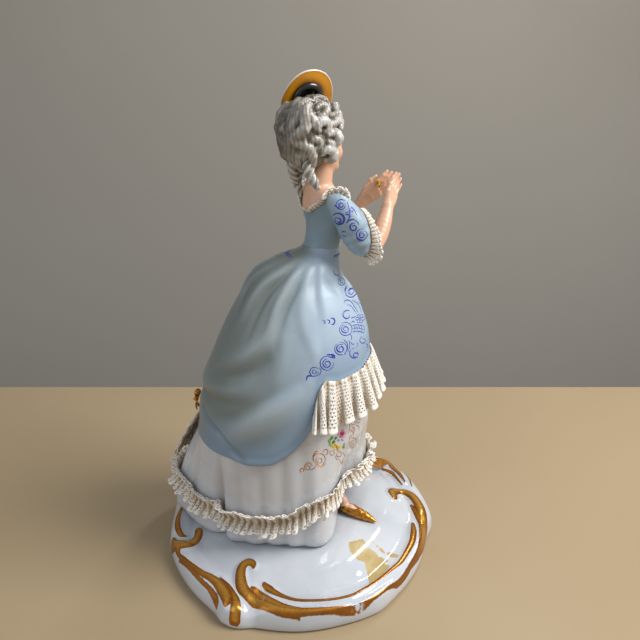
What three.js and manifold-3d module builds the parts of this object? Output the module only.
// Porcelain figurine of a lady in eighteenth-century dress, about 25 cm tall.
// Millimetres, +Z up. The lady faces -Y, her right hand is towards -X.
// The origin is under the middle of the base, on the surface it stands on.
import * as THREE from 'three';
import Module from 'manifold-3d';
import { mergeVertices } from 'three/addons/utils/BufferGeometryUtils.js';

const wasm = await Module();
wasm.setup();

// ---------------------------------------------------------------- driving sizes
const GAP = 0.3;              // clearance between neighbouring pieces
const WAIST = [2.6, -12.2];   // plan position of the skirt's vertical axis
const WAIST_Z = 168;          // top of the skirt at the back of the waist
const DOME_Z = 16.5;          // top of the base's dome
const RIM_Z = 11.5;           // crest of the base's rim
const RIM_BELLY_Z = 4.5;      // height of the rim's widest line
const RUFFLE_H = 13;          // height of the hem ruffle
const FLOUNCE_OUT = 5.8;      // how far the flounce stands out at its lower edge
const HEAD = [3.0, -14.0, 217.0];
const HEAD_TURN = 17;         // degrees that the head turns to her left
const HAT_C = [8.2, -8.2, 238.6];
const HAT_R = 13.3;
const HAT_TILT = 61;          // degrees that the hat leans to her left

// ---------------------------------------------------------------- small maths
const D2R = Math.PI / 180;
const clamp = (x, a, b) => Math.min(b, Math.max(a, x));
const mix = (a, b, t) => a + (b - a) * t;
const smooth = (a, b, x) => { const t = clamp((x - a) / (b - a), 0, 1); return t * t * (3 - 2 * t); };
const bump = (x, c, w) => Math.exp(-((x - c) / w) * ((x - c) / w));

// monotone cubic through a short table [[x, y], ...]
function curve(tab) {
  const n = tab.length, x = tab.map((p) => p[0]), y = tab.map((p) => p[1]), m = new Array(n).fill(0);
  const d = [];
  for (let i = 0; i < n - 1; i++) d.push((y[i + 1] - y[i]) / (x[i + 1] - x[i]));
  for (let i = 1; i < n - 1; i++) m[i] = d[i - 1] * d[i] <= 0 ? 0 : 2 / (1 / d[i - 1] + 1 / d[i]);
  m[0] = d[0]; m[n - 1] = d[n - 2];
  return (v) => {
    if (v <= x[0]) return y[0];
    if (v >= x[n - 1]) return y[n - 1];
    let i = 0; while (v > x[i + 1]) i++;
    const h = x[i + 1] - x[i], t = (v - x[i]) / h;
    return y[i] * (1 + 2 * t) * (1 - t) * (1 - t) + m[i] * h * t * (1 - t) * (1 - t)
      + y[i + 1] * t * t * (3 - 2 * t) + m[i + 1] * h * t * t * (t - 1);
  };
}
// the same round a full turn, in degrees
function turnCurve(tab) {
  const t = tab.map(([a, v]) => [a, v]).sort((p, q) => p[0] - q[0]);
  const n = t.length;
  const ext = [t[n - 2], t[n - 1]].map(([a, v]) => [a - 360, v]).concat(t, [t[0], t[1]].map(([a, v]) => [a + 360, v]));
  const f = curve(ext);
  return (a) => f(((a % 360) + 360) % 360);
}

// ---------------------------------------------------------------- base
const baseRadius = turnCurve([[0, 74.5], [15, 74.5], [25, 76], [33, 79], [38, 80], [43, 79.5], [50, 79], [58, 77], [65, 76.4],
  [76, 76], [94, 75], [109, 75.7], [118, 77.2], [124, 80.3], [127, 80.5], [130, 79.8], [133, 77.9], [136, 76.6], [152, 75.8],
  [171, 74.5], [181, 74.5], [195, 71.7], [209, 70.2], [225, 69.8], [233, 70.4], [245, 75], [255, 75.6], [268, 77.4], [280, 80],
  [290, 81.5], [300, 81.5], [310, 79], [318, 77], [328, 79], [336, 79], [346, 76.5]]);

// scroll ribs on the rim: [x, y, half width] along each rib, then its height
const RIBS = [
  { h: 2.2, p: [[-29, 44.5, 2.2], [-26.6, 46.5, 2.5], [-30, 51.5, 2.8], [-39.4, 53.1, 3], [-52.6, 48, 3.6], [-64.3, 34.3, 2.4], [-70.5, 18, 1.8], [-72.2, -4.3, 1.4],
    [-67.4, -21.1, 1.3], [-55.3, -41, 1.8], [-39, -56, 3], [-23.1, -63.6, 3], [-12, -64.2, 2.8], [-8.2, -59.4, 3], [-12.5, -53.4, 3]] },
  { h: 1.1, p: [[-42.2, 42.5, 1.6], [-53.7, 36.4, 1.5], [-64.5, 20, 1.2], [-66.6, -0.4, 1], [-59.1, -26.8, 1.4], [-48.7, -41.5, 1.9], [-35.5, -51.4, 1.4]] },
  { h: 2.0, p: [[14, 58.7, 2.4], [7, 60, 3], [6, 66, 3.4], [4, 71, 3], [-9.6, 70.4, 1.8], [-23.5, 64.8, 2.6], [-35.9, 61.6, 3.4], [-45, 61.5, 3.2], [-49.5, 65, 3]] },
  { h: 1.4, p: [[46, 54, 1.6], [31.1, 65, 1.9], [16.5, 67.9, 1.8]] },
  { h: 1.8, p: [[36, -63, 2.2], [32, -66, 2.4], [23.5, -73, 2.4], [7.1, -71.8, 2], [-1.4, -70, 1.4]] },
  { h: 2.0, p: [[45, 44, 2.4], [50, 42, 2.8], [56, 46, 3], [63, 37, 2.4], [69, 22, 1.8], [71, 4, 1.4], [68.5, -18, 1.6], [60, -40, 2.4], [51, -53, 3], [43, -56, 3],
    [41, -50, 2.8], [45, -46, 2.4]] },
];
function segDist(x, y, p) {
  let best = [1e9, 1];
  for (let i = 0; i < p.length - 1; i++) {
    const [ax, ay, aw] = p[i], [bx, by, bw] = p[i + 1];
    const dx = bx - ax, dy = by - ay, t = clamp(((x - ax) * dx + (y - ay) * dy) / (dx * dx + dy * dy), 0, 1);
    const d = Math.hypot(x - ax - t * dx, y - ay - t * dy), w = mix(aw, bw, t);
    if (d / w < best[0] / best[1]) best = [d, w];
  }
  return best;
}
const domeZ = curve([[0, DOME_Z], [0.45, DOME_Z - 0.3], [0.62, DOME_Z - 1.4], [0.74, 13.0], [0.84, 11.0], [0.9, RIM_Z - 0.6], [0.95, RIM_Z - 1.2], [0.985, 8.2], [1, RIM_BELLY_Z]]);
function baseTop(x, y) {
  const rho = Math.hypot(x, y) / baseRadius(Math.atan2(y, x) / D2R);
  let rib = 0;
  for (const s of RIBS) { const [d, w] = segDist(x, y, s.p); rib = Math.max(rib, s.h * (1 - smooth(0.2, 1.5, d / w))); }
  return domeZ(rho) + rib * (1 - smooth(0.965, 1, rho));
}

// ---------------------------------------------------------------- skirts (radius about the waist axis)
const backR = curve([[14, 69], [60, 69], [74, 66.4], [87, 64.5], [102, 61.4], [115, 56.3], [128, 50.4], [139, 44.6], [148.5, 39], [157, 32],
  [161.3, 25.2], [164, 17.6], [166, 12.5], [168, 9.4], [171, 8.8]]);
const frontR = curve([[14, 28.5], [74, 28.5], [90, 28.4], [105, 27.4], [113, 26.4], [122, 25.1], [130, 22.8], [139, 19.5], [147, 15.2], [154, 10.8], [160, 9.8], [168, 9.4], [171, 8.8]]);
const backShare = turnCurve([[0, 0.33], [15, 0.5], [30, 0.72], [45, 0.9], [62, 0.985], [75, 1], [90, 0.97], [105, 0.87], [123, 0.64], [139, 0.47], [152, 0.38],
  [165, 0.27], [180, 0.17], [205, 0.06], [225, 0.01], [242, 0], [270, 0], [300, 0.03], [330, 0.12], [348, 0.24]]);
const overHem = turnCurve([[0, 108], [15, 108], [27, 107], [33, 96], [38, 84], [45, 75], [62, 70.5], [90, 70.5], [104, 70.5], [114, 68.5], [123, 69], [131, 73],
  [139, 79], [146, 88], [151, 104], [156, 109], [166, 107.5], [178, 108], [196, 108.5], [205, 109.5], [215, 110], [228, 110], [270, 110], [312, 110], [335, 109], [348, 108.5]]);
const hemPlan = turnCurve([[0, 46], [20, 58], [38, 76], [50, 83], [61, 84.5], [68, 79], [80, 71.5], [88, 66.5], [93, 62.5], [98, 62], [105, 58.6], [115, 53.2], [126, 48.6],
  [139, 46.3], [153, 44.6], [160, 40], [168, 31], [177, 22], [190, 17.5], [205, 18], [224, 21.5], [242, 24], [257, 27.5], [270, 31], [300, 34], [330, 37], [348, 40]]);
const hemLift = turnCurve([[0, 0], [90, 0], [160, 0], [168, 3], [178, 9], [190, 13], [225, 13.5], [270, 12.5], [300, 11], [330, 6], [350, 1]]);

// soft folds of the overskirt: valleys and ridges drawn in (angle, height)
const FOLDS = [
  { d: -1.5, w: 3.0, p: [[92, 161], [86, 152], [84, 138], [83, 125]] },
  { d: -1.7, w: 3.2, p: [[108, 161], [106, 148], [104, 138], [101, 128]] },
  { d: -1.2, w: 3.2, p: [[74, 160], [68, 150], [66, 136]] },
  { d: -1.3, w: 3.4, p: [[128, 160], [127, 146], [128, 132], [132, 118]] },
  { d: -0.9, w: 3.0, p: [[150, 156], [156, 145], [162, 137]] },
  { d: -1.2, w: 3.2, p: [[54, 159], [50, 146], [48, 130]] },
  { d: -1.2, w: 3.2, p: [[34, 157], [28, 142], [26, 126]] },
  { d: -1.0, w: 3.0, p: [[8, 154], [2, 142], [358, 128]] },
  { d: -1.3, w: 3.5, p: [[70, 94], [84, 90], [98, 88]] },
  { d: -1.4, w: 3.0, p: [[72, 82], [88, 76], [98, 70]] },
  { d: 1.4, w: 7, p: [[140, 96], [122, 88], [104, 80], [86, 78]] },
  { d: -1.2, w: 4.5, p: [[130, 106], [116, 100], [104, 100]] },
];
function foldDepth(a, z, r) {
  let s = 0;
  for (const f of FOLDS) {
    let best = 1e9;
    for (let i = 0; i < f.p.length - 1; i++) {
      const k = r * D2R, da = ((a - f.p[i][0] + 540) % 360) - 180;
      const ax = 0, ay = f.p[i][1], bx = (((f.p[i + 1][0] - f.p[i][0] + 540) % 360) - 180) * k, by = f.p[i + 1][1];
      const px = da * k, py = z, dx = bx - ax, dy = by - ay, t = clamp(((px - ax) * dx + (py - ay) * dy) / (dx * dx + dy * dy), 0, 1);
      best = Math.min(best, Math.hypot(px - ax - t * dx, py - ay - t * dy));
    }
    s += f.d * bump(best, 0, f.w);
  }
  return s * smooth(WAIST_Z, 154, z);
}
function overR(a, z) {
  const r = mix(frontR(z), backR(z), backShare(a));
  return r + foldDepth(a, z, r) - 1.2 * smooth(4, 0, z - overHem(a));
}
function underR(a, z) {
  const top = mix(frontR(72), backR(72), backShare(a)) - 2.4;
  const s = Math.pow(clamp((z - 14) / 58, 0, 1), 1.7);
  const hang = 0.8 * Math.sin(a * 7.2 * D2R * 2.2) * smooth(0, 0.25, 1 - s) * smooth(96, 104, a) * smooth(160, 150, a);
  const crease = -3.2 * bump(a, 94.5, 2.6) * smooth(66, 50, z) - 1.6 * bump(a, 28, 3);
  return Math.min(mix(hemPlan(a), top, s) + hang + crease, mix(frontR(z), backR(z), backShare(a)) - 2.0 + 30 * smooth(74, 60, z));
}
const onAxis = (a, r, z) => [WAIST[0] + r * Math.cos(a * D2R), WAIST[1] + r * Math.sin(a * D2R), z];
function hemZ(a) {
  const [x, y] = onAxis(a, hemPlan(a) - 1, 0);
  return baseTop(x, y) + GAP + 0.3 + hemLift(a);
}

// ---------------------------------------------------------------- mesh helpers
function solid(positions, index) {
  let v6 = 0;
  for (let i = 0; i < index.length; i += 3) {
    const a = positions[index[i]], b = positions[index[i + 1]], c = positions[index[i + 2]];
    v6 += a[0] * (b[1] * c[2] - b[2] * c[1]) - a[1] * (b[0] * c[2] - b[2] * c[0]) + a[2] * (b[0] * c[1] - b[1] * c[0]);
  }
  if (v6 < 0) for (let i = 0; i < index.length; i += 3) [index[i + 1], index[i + 2]] = [index[i + 2], index[i + 1]];
  const g = new THREE.BufferGeometry();
  g.setAttribute('position', new THREE.Float32BufferAttribute(positions.flat(), 3));
  g.setIndex(index);
  return g;
}
// closed skin over a list of rings with the same number of points; both ends are capped
function loft(rings, capFlat = [false, false]) {
  const n = rings[0].length, pos = rings.flat(), idx = [];
  for (let j = 0; j < rings.length - 1; j++) for (let i = 0; i < n; i++) {
    const a = j * n + i, b = j * n + (i + 1) % n, c = a + n, d = b + n;
    idx.push(a, b, d, a, d, c);
  }
  [[0, true], [rings.length - 1, false]].forEach(([j, first], e) => {
    if (capFlat[e]) {
      const tri = THREE.ShapeUtils.triangulateShape(rings[j].map((p) => new THREE.Vector2(p[0], p[1])), []);
      for (const [a, b, c] of tri) first ? idx.push(j * n + a, j * n + c, j * n + b) : idx.push(j * n + a, j * n + b, j * n + c);
      // keep the cap facing the same way as the side wall whatever the ring's direction
      return;
    }
    const c = [0, 1, 2].map((k) => rings[j].reduce((s, p) => s + p[k], 0) / n), m = pos.length;
    pos.push(c);
    for (let i = 0; i < n; i++) { const a = j * n + i, b = j * n + (i + 1) % n; first ? idx.push(m, b, a) : idx.push(m, a, b); }
  });
  return solid(pos, idx);
}
// round or flattened limb along a smooth path; each point is [x, y, z, radius, flattening]
function limb(path, steps, sides, flatDir = [0, 0, 1]) {
  const c = new THREE.CatmullRomCurve3(path.map((p) => new THREE.Vector3(p[0], p[1], p[2])), false, 'centripetal');
  const rings = [];
  for (let j = 0; j <= steps; j++) {
    const t = j / steps, k = t * (path.length - 1), i = Math.min(path.length - 2, Math.floor(k)), f = k - i;
    const r = mix(path[i][3], path[i + 1][3], f), q = mix(path[i][4] ?? 1, path[i + 1][4] ?? 1, f);
    const p = c.getPoint(t), d = c.getTangent(t);
    const u = new THREE.Vector3(...flatDir).addScaledVector(d, -d.dot(new THREE.Vector3(...flatDir))).normalize();
    const v = new THREE.Vector3().crossVectors(d, u).normalize(), ring = [];
    for (let s = 0; s < sides; s++) {
      const a = (s / sides) * 2 * Math.PI;
      const o = p.clone().addScaledVector(u, r * q * Math.cos(a)).addScaledVector(v, r * Math.sin(a));
      ring.push([o.x, o.y, o.z]);
    }
    rings.push(ring);
  }
  return loft(rings);
}
// stacked ellipses: each row [x, y, z, half width, half depth]
function stack(rows, steps, sides) {
  const f = [1, 0, 3, 4].map((k) => curve(rows.map((r) => [r[2], r[k]])));
  const z0 = rows[0][2], z1 = rows[rows.length - 1][2], rings = [];
  for (let j = 0; j <= steps; j++) {
    const z = mix(z0, z1, j / steps), ring = [];
    for (let s = 0; s < sides; s++) {
      const a = (s / sides) * 2 * Math.PI;
      ring.push([f[1](z) + f[2](z) * Math.cos(a), f[0](z) + f[3](z) * Math.sin(a), z]);
    }
    rings.push(ring);
  }
  return loft(rings);
}
// ball with a radius law r(direction); poles up and down
function ball(centre, nu, nv, law) {
  const rings = [];
  for (let j = 1; j < nv; j++) {
    const el = -90 + 180 * j / nv, ring = [];
    for (let i = 0; i < nu; i++) { const az = i * 360 / nu, p = law(az, el); ring.push([centre[0] + p[0], centre[1] + p[1], centre[2] + p[2]]); }
    rings.push(ring);
  }
  return loft(rings);
}
function toManifold(g) {
  const h = g.clone(); h.deleteAttribute('normal'); h.deleteAttribute('uv');
  const m = mergeVertices(h, 1e-5);
  return new wasm.Manifold(new wasm.Mesh({ numProp: 3, vertProperties: new Float32Array(m.attributes.position.array), triVerts: new Uint32Array(m.index.array) }));
}
function join(list) {
  let s = toManifold(list[0]);
  for (let i = 1; i < list.length; i++) s = s.add(toManifold(list[i]));
  return fromManifold(s);
}
function fromManifold(s) {
  const m = s.getMesh(), p = [], np = m.numProp;
  for (let i = 0; i < m.vertProperties.length; i += np) p.push([m.vertProperties[i], m.vertProperties[i + 1], m.vertProperties[i + 2]]);
  return solid(p, Array.from(m.triVerts));
}

// ---------------------------------------------------------------- base solid
function makeBase() {
  const n = 72, rings = [];
  for (const f of [0.3, 0.56, 0.72, 0.82, 0.88, 0.92, 0.96]) {
    const ring = [];
    for (let i = 0; i < n; i++) { const a = i * 360 / n, r = baseRadius(a) * f, x = r * Math.cos(a * D2R), y = r * Math.sin(a * D2R); ring.push([x, y, baseTop(x, y)]); }
    rings.push(ring);
  }
  for (const [f, z] of [[1, RIM_BELLY_Z], [0.985, 1.2], [0.965, 0]]) {
    const ring = [];
    for (let i = 0; i < n; i++) { const a = i * 360 / n, r = baseRadius(a) * f; ring.push([r * Math.cos(a * D2R), r * Math.sin(a * D2R), z]); }
    rings.push(ring);
  }
  return loft(rings, [false, true]);
}

// ---------------------------------------------------------------- the lady
function makeSkirt(g = 0) {
  const n = 56, tIn = 7, rings = [];
  const level = (a, k) => mix(WAIST_Z, overHem(a), k);
  for (const k of [0, 0.025, 0.06, 0.12, 0.2, 0.32, 0.47, 0.64, 0.82, 1]) {
    const ring = []; for (let i = 0; i < n; i++) { const a = i * 360 / n, z = level(a, k); ring.push(onAxis(a, overR(a, z) + g, z)); } rings.push(ring);
  }
  for (const k of [-0.02, 0.2, 0.42, 0.64, 0.84, 1]) {
    const ring = [];
    for (let i = 0; i < n; i++) {
      const a = i * 360 / n, z0 = overHem(a), z1 = hemZ(a), z = mix(z0, z1, Math.max(0, k)) + (k < 0 ? 0.3 : -0.3 * (1 - Math.max(0, k)));
      const r = Math.min(underR(a, z), overR(a, z0) - (k <= 0 ? 1.4 : -60));
      ring.push(onAxis(a, r + g, z));
    }
    rings.push(ring);
  }
  for (const [dr, dz] of [[-3, 0.6]]) {
    const ring = []; for (let i = 0; i < n; i++) { const a = i * 360 / n; ring.push(onAxis(a, hemPlan(a) + dr, hemZ(a) + dz)); } rings.push(ring);
  }
  const ring = []; for (let i = 0; i < n; i++) { const a = i * 360 / n; ring.push(onAxis(a, tIn, DOME_Z + 16)); } rings.push(ring);
  return loft(rings);
}
const grown = (rows, g) => rows.map(([x, y, z, a, b]) => [x, y, z, a + g, b + g]);
function makeBodice(g = 0) {
  return stack(grown([[2.6, -12.2, 150, 7, 7], [2.6, -12.2, 160, 9, 9.2], [2.6, -12.1, 166, 9.3, 9.4], [2.6, -13.4, 171, 9.8, 8.8], [2.6, -14.6, 176, 11, 9.0], [2.6, -15.6, 182, 12.8, 9.8],
    [2.6, -14.4, 187, 14.0, 9.4], [2.6, -12.8, 191, 13.8, 7.6], [2.6, -11.9, 194.5, 11, 6.6], [2.6, -11.4, 197.5, 8.2, 6.6]], g), 8, 14);
}
function makeNeck(g = 0) { return stack(grown([[2.6, -11.2, 188, 8, 7], [2.6, -11.2, 194, 7.6, 7], [2.7, -11.4, 199, 6.3, 6.6], [2.8, -12, 204, 5.9, 6.4], [3, -13, 212, 6, 6.5]], g), 5, 12); }
const turnHead = (x, y, z) => { const a = HEAD_TURN * D2R; return [x * Math.cos(a) - y * Math.sin(a), x * Math.sin(a) + y * Math.cos(a), z]; };
function makeHead() {
  // face towards -Y in its own frame: jaw narrower than the temples, nose, lips, chin and eye hollows as gentle swellings
  return ball(HEAD, 16, 12, (az, el) => {
    const c = Math.cos(el * D2R), s = Math.sin(el * D2R);
    let x = 8.9 * Math.cos(az * D2R) * c, y = 10.2 * Math.sin(az * D2R) * c, z = 12.4 * s;
    const low = smooth(2, -12, z);
    x *= 1 - 0.36 * low; y *= 1 - 0.1 * low;
    const face = smooth(0, -6, y);
    let out = 0;
    out += 2.1 * bump(x, 0, 1.5) * bump(z, -2.6, 2.4) + 0.8 * bump(x, 0, 1.3) * bump(z, 0.8, 2.4);
    out += 0.7 * bump(x, 0, 2.3) * bump(z, -6.4, 1.2) + 0.9 * bump(x, 0, 2.6) * bump(z, -10.2, 1.8);
    out -= 0.8 * (bump(x, 3.2, 1.9) + bump(x, -3.2, 1.9)) * bump(z, 0.9, 1.5);
    y -= face * out;
    return turnHead(x, y, z);
  });
}
function makeHairMass(g = 0) {
  return ball([2.2, -6.0, 221.5], 18, 10, (az, el) => {
    const c = Math.cos(el * D2R), s = Math.sin(el * D2R);
    const wave = 1 + 0.03 * Math.sin(az * 6 * D2R + el * 0.09);
    let x = (12.8 + g) * Math.cos(az * D2R) * c * wave, y = (16.0 + g) * Math.sin(az * D2R) * c * wave, z = (17.8 + g) * s * wave;
    const nape = smooth(-4, -16, z);                               // the mass tapers towards the nape
    x *= 1 - 0.34 * nape; y *= 1 - 0.3 * nape;
    const open = smooth(-2, -11, y) * smooth(7, -1, z);            // and leaves the face free
    y += 8 * open; x *= 1 - 0.12 * open;
    return turnHead(x, y, z);
  });
}
function makeHair() {
  const mass = makeHairMass(), curls = [];
  for (const [sx, y0, z0, dx, dy, dz] of [[-5.5, -2, 211, -1.8, -5, -14.5], [8.2, -1, 212, 3.6, -3, -15.5]]) {
    const path = [];
    for (let i = 0; i <= 4; i++) { const t = i / 4; path.push([sx + dx * t + 0.9 * Math.sin(5 * t), y0 + dy * t, z0 + dz * t, mix(3.4, 2.1, t) * (1 + 0.12 * Math.cos(9 * t))]); }
    curls.push(limb(path, 5, 6, [1, 0, 0]));
  }
  for (const s of [-1, 1]) for (const [z, r] of [[220, 2.9]]) curls.push(limb([[2.6 + s * 11.4, -12, z, r * 0.6], [2.6 + s * 12.4, -8, z, r], [2.6 + s * 12.6, -3, z - 0.6, r], [2.6 + s * 11.2, 1.5, z - 1, r * 0.7]], 3, 6, [0, 0, 1]));
  return [mass, ...curls];
}
const SLEEVE_R = [[-9.5, -11.8, 192.5, 3.6], [-13.2, -14.2, 190.5, 5.4], [-16, -17.8, 185.5, 7.2], [-17.2, -20.6, 179.5, 7.9], [-17.6, -23, 173.5, 7.3], [-17.6, -25, 169, 5.2]];
const SLEEVE_L = SLEEVE_R.map(([x, y, z, r]) => [5.2 - x, y - 1.5, z + 0.5, r]);
const ARM_R = [[-17.4, -25, 171.5, 4.2], [-17.2, -31, 170.8, 4.3], [-15, -37, 177, 4.0], [-12.6, -41.8, 184.5, 3.1], [-10.6, -44.6, 189, 2.9]];
const ARM_L = [[22, -26.5, 172.5, 4.2], [21.6, -32, 172.2, 4.3], [18.6, -38, 178, 3.9], [14.8, -43.8, 185, 3.0], [12.2, -46.8, 188.8, 2.8]];
function makeHand(wrist, tip, side) {
  const w = new THREE.Vector3(...wrist), t = new THREE.Vector3(...tip), d = t.clone().sub(w), out = [];
  const at = (k, dx, dy, dz) => [w.x + d.x * k + dx, w.y + d.y * k + dy, w.z + d.z * k + dz];
  out.push(limb([[...wrist, 2.7, 0.8], [...at(0.25, 0, 0, 0), 3.5, 0.62], [...at(0.5, 0, 0, 0), 3.7, 0.55], [...at(0.62, 0, 0, 0), 3.0, 0.5]], 4, 8, [side, 0.3, 0.2]));
  for (let i = 0; i < 2; i++) {
    const o = (i - 0.5) * 3.1;
    out.push(limb([[...at(0.5, side * 0.2, -o * 0.9, o * 0.55), 1.9, 0.6], [...at(0.78, side * 0.1, -o * 0.85, o * 0.55), 1.8, 0.55], [...at(1 - i * 0.05, -side * 0.4, -o * 0.8, o * 0.5), 1.3, 0.5]], 2, 6, [side, 0.3, 0.2]));
  }
  out.push(limb([[...at(0.15, side * 0.5, 2.2, 0.8), 1.3], [...at(0.42, side * 0.4, 3.6, 1.8), 1.25], [...at(0.62, 0, 3.4, 2.6), 0.9]], 2, 5, [1, 0, 0]));
  return out;
}
function makeShoe(heel, toe, leg, g = 0) {
  const h = new THREE.Vector3(...heel), t = new THREE.Vector3(...toe), d = t.clone().sub(h), at = (k, dz) => [h.x + d.x * k, h.y + d.y * k, h.z + d.z * k + dz];
  return [
    limb([[...at(0, 3.4), 2.6, 1.05], [...at(0.25, 3.0), 3.6, 0.95], [...at(0.55, 2.3), 3.6, 0.72], [...at(0.82, 1.7), 2.6, 0.6], [...at(1, 1.3), 1.0, 0.8]], 6, 8, [0, 0, 1]),
    limb([[...at(0.02, 0.9), 1.4], [...at(0.04, 3), 2]], 2, 6, [1, 0, 0]),
    limb([[...at(0.12, 2.8), 3.0 + g], [...at(0.1, 6.5), 2.5 + g], [h.x + leg[0], h.y + leg[1], h.z + leg[2], 3.6 + g]], 3, 8, [1, 0, 0]),
  ];
}
const onBase = (x, y, up) => [x, y, baseTop(x, y) + GAP + up];
const FOOT_R = [onBase(-13.5, -16.5, 0), onBase(-30.5, -28.5, 0), [4, 0, 22]];      // heel, toe, and where the leg meets the skirt
const FOOT_L = [onBase(16.5, -51.5, 1.5), onBase(20, -70, 0.3), [-8, 17, 22]];
function makeLady() {
  const parts = [makeSkirt(), makeBodice(), makeNeck(), makeHead(), ...makeHair(), limb(SLEEVE_R, 6, 10, [0, 0, 1]), limb(SLEEVE_L, 6, 10, [0, 0, 1]),
    limb(ARM_R, 5, 7, [1, 0, 0]), limb(ARM_L, 5, 7, [1, 0, 0]), ...makeHand([-10.6, -44.6, 189], [-2.6, -52.8, 199.5], -1), ...makeHand([12.2, -46.8, 188.8], [2.2, -54.4, 198.2], 1),
    ...makeShoe(...FOOT_R), ...makeShoe(...FOOT_L)];
  // the base, raised by the clearance, is cut from what would sink into its facets
  return fromManifold(toManifold(join(parts)).subtract(toManifold(makeBase().translate(0, 0, GAP))));
}

// ---------------------------------------------------------------- hat
function makeHat() {
  const tilt = HAT_TILT * D2R, rings = [], n = 20;
  // lathe profile [radius, height along the hat's own axis], underside first
  const prof = [[6.0, 1.8], [6.9, 0.2], [HAT_R, 0.3], [HAT_R - 0.2, 1.6], [7.9, 1.8], [7.2, 4.6], [4.2, 6.0]];
  for (const [r, h] of prof) {
    const ring = [];
    for (let i = 0; i < n; i++) {
      const a = i * 360 / n, lift = 0.9 * Math.sin(2 * a * D2R + 0.6) * smooth(8, HAT_R, r);
      const x = r * Math.cos(a * D2R), y = r * Math.sin(a * D2R), z = h + lift;
      ring.push([HAT_C[0] + x * Math.cos(tilt) + z * Math.sin(tilt), HAT_C[1] + y, HAT_C[2] - x * Math.sin(tilt) + z * Math.cos(tilt)]);
    }
    rings.push(ring);
  }
  return fromManifold(toManifold(loft(rings)).subtract(toManifold(makeHairMass(0.6))));
}

// ---------------------------------------------------------------- lace pieces
// A pleated band: inner and outer skins between two edges given as functions of the angle.
function band(a0, a1, n, edges, pleats, depth, thick) {
  // edges(a, t) -> [radius, height] for t = 0 top .. 1 bottom; open strip with thickness
  const rings = [], rows = [0, 0.5, 1];
  for (let i = 0; i <= n; i++) {
    const a = mix(a0, a1, i / n), wave = 0.5 + 0.5 * Math.cos(pleats * 2 * Math.PI * i / n), ring = [];
    for (const t of rows) { const [r, z] = edges(a, t); ring.push(onAxis(a, r + thick + depth * wave * mix(0.35, 1, t), z)); }
    for (const t of [...rows].reverse()) { const [r, z] = edges(a, t); ring.push(onAxis(a, r + depth * wave * mix(0.35, 1, t) * 0.6, z)); }
    rings.push(ring);
  }
  return loft(rings);
}
const ruffleMid = turnCurve([[0, 34], [62, 34], [90, 33], [105, 32.5], [119, 32.5], [127, 33.5], [136, 36.5], [145, 41], [155, 44.5], [165, 45.5], [175, 45], [190, 44],
  [225, 42.5], [257, 41], [270, 40.5], [300, 40], [330, 38], [350, 35.5]]);
const flounceLow = turnCurve([[147, 88.5], [160, 86.5], [170, 88], [190, 89], [203, 90], [211, 91], [222, 92], [242, 93], [270, 93.5], [298, 93], [318, 91.5], [337, 89.5], [350, 88], [10, 87.5], [33, 88]]);
function skinR(a, z) { return z > overHem(a) ? overR(a, z) : Math.max(underR(a, z), z > overHem(a) - 6 ? overR(a, overHem(a)) : 0); }

function makeRuffle() {
  const n = 44, rings = [];
  for (let i = 0; i < n; i++) {
    const a = i * 360 / n, m = ruffleMid(a), w = i % 2 ? -1 : 1, ring = [];
    for (const [t, o] of [[1, 0.2], [0.5, 3.2], [0, 2.4], [-0.5, 3.4], [-1, 0.3]]) ring.push(onAxis(a, underR(a, m + t * RUFFLE_H / 2) + GAP + 1.3 + o + (Math.abs(t) === 0.5 ? 0.9 * w : 0), m + t * RUFFLE_H / 2 + 0.5 * w * (t > 0 ? 1 : -1)));
    for (const t of [-0.5, 0.5]) ring.push(onAxis(a, underR(a, m + t * RUFFLE_H / 2) + GAP + 1.3, m + t * RUFFLE_H / 2));
    rings.push(ring);
  }
  const cut = makeShoe(...FOOT_L, 0.5)[2];
  return fromManifold(toManifold(ringTorus(rings)).subtract(toManifold(cut)));
}
// rings joined end to end into a closed hoop
function ringTorus(rings) {
  const n = rings.length, k = rings[0].length, pos = rings.flat(), idx = [];
  for (let i = 0; i < n; i++) for (let j = 0; j < k; j++) {
    const a = i * k + j, b = i * k + (j + 1) % k, c = ((i + 1) % n) * k + j, d = ((i + 1) % n) * k + (j + 1) % k;
    idx.push(a, b, d, a, d, c);
  }
  return solid(pos, idx);
}
function makeFlounce() {
  const top = (a) => overHem(a) + 1.2;
  const clear = GAP + 0.7;
  return band(149, 390, 44, (a, t) => {
    const z = mix(Math.min(top(a), 112), flounceLow(a), t), r = mix(frontR(z), backR(z), backShare(a));
    return [Math.max(r, underR(a, z)) + clear + FLOUNCE_OUT * 0.45 * t, z];
  }, 11, FLOUNCE_OUT * 0.55, 1.2);
}
function makeCascade() {
  return band(47, 61, 10, (a, t) => {
    const z = mix(71.5, 42, t);
    return [Math.max(underR(a, z), mix(frontR(z), backR(z), backShare(a)) * smooth(60, 66, z)) + GAP + 1.2 + 1.6 * t, z];
  }, 2.5, 2.6, 1.3);
}
// a frill that follows a closed loop of points on the body
function frill(points, sides, n, wave) {
  const c = new THREE.CatmullRomCurve3(points.map((p) => new THREE.Vector3(p[0], p[1], p[2])), true, 'catmullrom'), rings = [];
  for (let i = 0; i < n; i++) {
    const t = i / n, p = c.getPoint(t), d = c.getTangent(t), u = new THREE.Vector3(0, 0, 1).addScaledVector(d, -d.z).normalize(), v = new THREE.Vector3().crossVectors(d, u);
    const k = t * points.length, j = Math.floor(k) % points.length, q = (j + 1) % points.length;
    const r = mix(points[j][3], points[q][3], k - Math.floor(k)) * (1 + 0.14 * Math.cos(wave * 2 * Math.PI * t)), ring = [];
    for (let s = 0; s < sides; s++) { const a = s * 2 * Math.PI / sides, o = p.clone().addScaledVector(u, r * Math.cos(a)).addScaledVector(v, r * Math.sin(a)); ring.push([o.x, o.y, o.z]); }
    rings.push(ring);
  }
  return ringTorus(rings);
}

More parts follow.
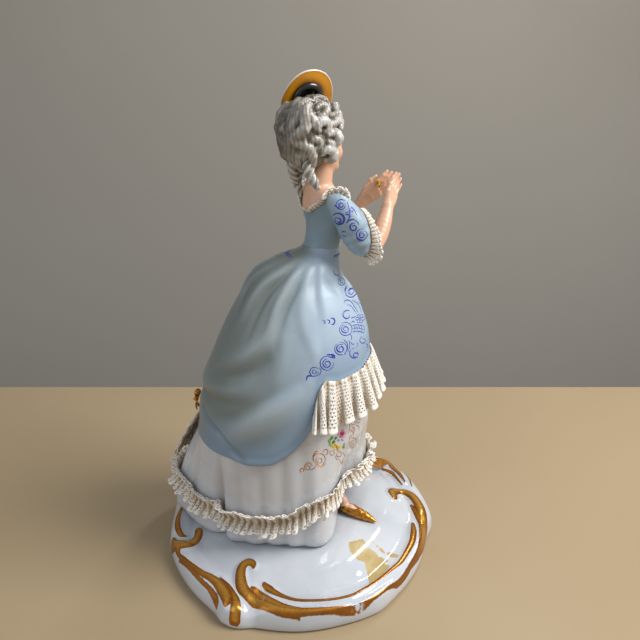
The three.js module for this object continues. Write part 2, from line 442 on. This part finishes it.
// neckline: low at the middle of the back, over the shoulders, scooped in front
const NECKLINE = [[2.6, -4.6, 185.2, 1.7], [-4.2, -5.6, 188, 1.7], [-9.6, -9, 192.4, 1.8], [-11.6, -13.6, 195.6, 1.9], [-10.6, -18.6, 192.6, 1.8], [-6.2, -22.2, 186.6, 1.8], [2.6, -24.2, 183.4, 1.9],
  [11.4, -22.2, 186.6, 1.8], [15.8, -18.6, 192.6, 1.8], [16.8, -13.6, 195.6, 1.9], [14.8, -9, 192.4, 1.8], [9.4, -5.6, 188, 1.7]];
// slanted opening of the right sleeve, from below the elbow up its front edge
const CUFF_R = [[-17.6, -25.4, 165.6, 3.2], [-23.6, -26.4, 168.6, 3.1], [-25.2, -26.4, 176, 2.2], [-21.4, -24.4, 184.5, 1.6], [-15.2, -23.4, 188.5, 1.6], [-10.6, -26.6, 182, 1.7], [-10.2, -28.6, 174.5, 2.2], [-12, -27.6, 168.4, 3]];
const CUFF_L = CUFF_R.map(([x, y, z, r]) => [5.2 - x, y - 1.5, z + 0.5, r]).reverse();
const growLimb = (rows, g) => rows.map(([x, y, z, r, q]) => [x, y, z, r + g, q ?? 1]);
function trimmed(g, cutters) { return fromManifold(toManifold(g).subtract(toManifold(join(cutters)))); }
const sleeveCut = (rows) => limb(growLimb(rows, 0.6), 6, 10, [0, 0, 1]);
const armCut = (rows) => limb(growLimb(rows, 0.6), 5, 7, [1, 0, 0]);
// gilt bow above the side lace: an upper loop, a lower loop and the knot between them
const BOW = { angle: 57, r: 67.5, z: 78.2 };
function makeBow() {
  const c = Math.cos(BOW.angle * D2R), s = Math.sin(BOW.angle * D2R);
  const lump = (dr, dz, across, out, up) => ball(onAxis(BOW.angle, BOW.r + dr, BOW.z + dz), 8, 5, (az, el) => {
    const k = Math.cos(el * D2R), u = across * Math.cos(az * D2R) * k, v = out * Math.sin(az * D2R) * k;
    return [-u * s + v * c, u * c + v * s, up * Math.sin(el * D2R)];
  });
  return join([lump(0, 3.1, 2.6, 1.9, 3.2), lump(0.4, -2.8, 2.6, 1.9, 3.0), lump(0.3, 0, 1.7, 2.2, 1.8)]);
}

const paint = (color, roughness, metalness = 0) => new THREE.MeshStandardMaterial({ color, roughness, metalness });
const group = new THREE.Group();
const add = (name, geometry, material) => { geometry.computeVertexNormals(); const m = new THREE.Mesh(geometry, material); m.name = name; group.add(m); };

const lady = makeLady();
add('base', makeBase(), paint(0xe4e7ea, 0.08));
add('lady', lady, paint(0xb9cbd6, 0.45));
add('hat', makeHat(), paint(0xd99a1e, 0.3));
add('hem_ruffle', makeRuffle(), paint(0xe6ded0, 0.8));
add('flounce', makeFlounce(), paint(0xe6ded0, 0.8));
add('side_lace', makeCascade(), paint(0xe6ded0, 0.8));
add('side_bow', makeBow(), paint(0xb7862c, 0.3, 0.8));
add('neckline_lace', trimmed(frill(NECKLINE, 4, 24, 12), [makeBodice(0.5), sleeveCut(SLEEVE_R), sleeveCut(SLEEVE_L)]), paint(0xe6ded0, 0.8));
add('right_cuff_lace', trimmed(frill(CUFF_R, 4, 14, 7), [sleeveCut(SLEEVE_R), armCut(ARM_R)]), paint(0xe6ded0, 0.8));
add('left_cuff_lace', trimmed(frill(CUFF_L, 4, 14, 7), [sleeveCut(SLEEVE_L), armCut(ARM_L)]), paint(0xe6ded0, 0.8));

// the origin goes under the middle of the whole figure's outline
const outline = new THREE.Box3().setFromObject(group);
group.position.set(-(outline.min.x + outline.max.x) / 2, -(outline.min.y + outline.max.y) / 2, 0);
group.updateMatrixWorld(true);

export default group;
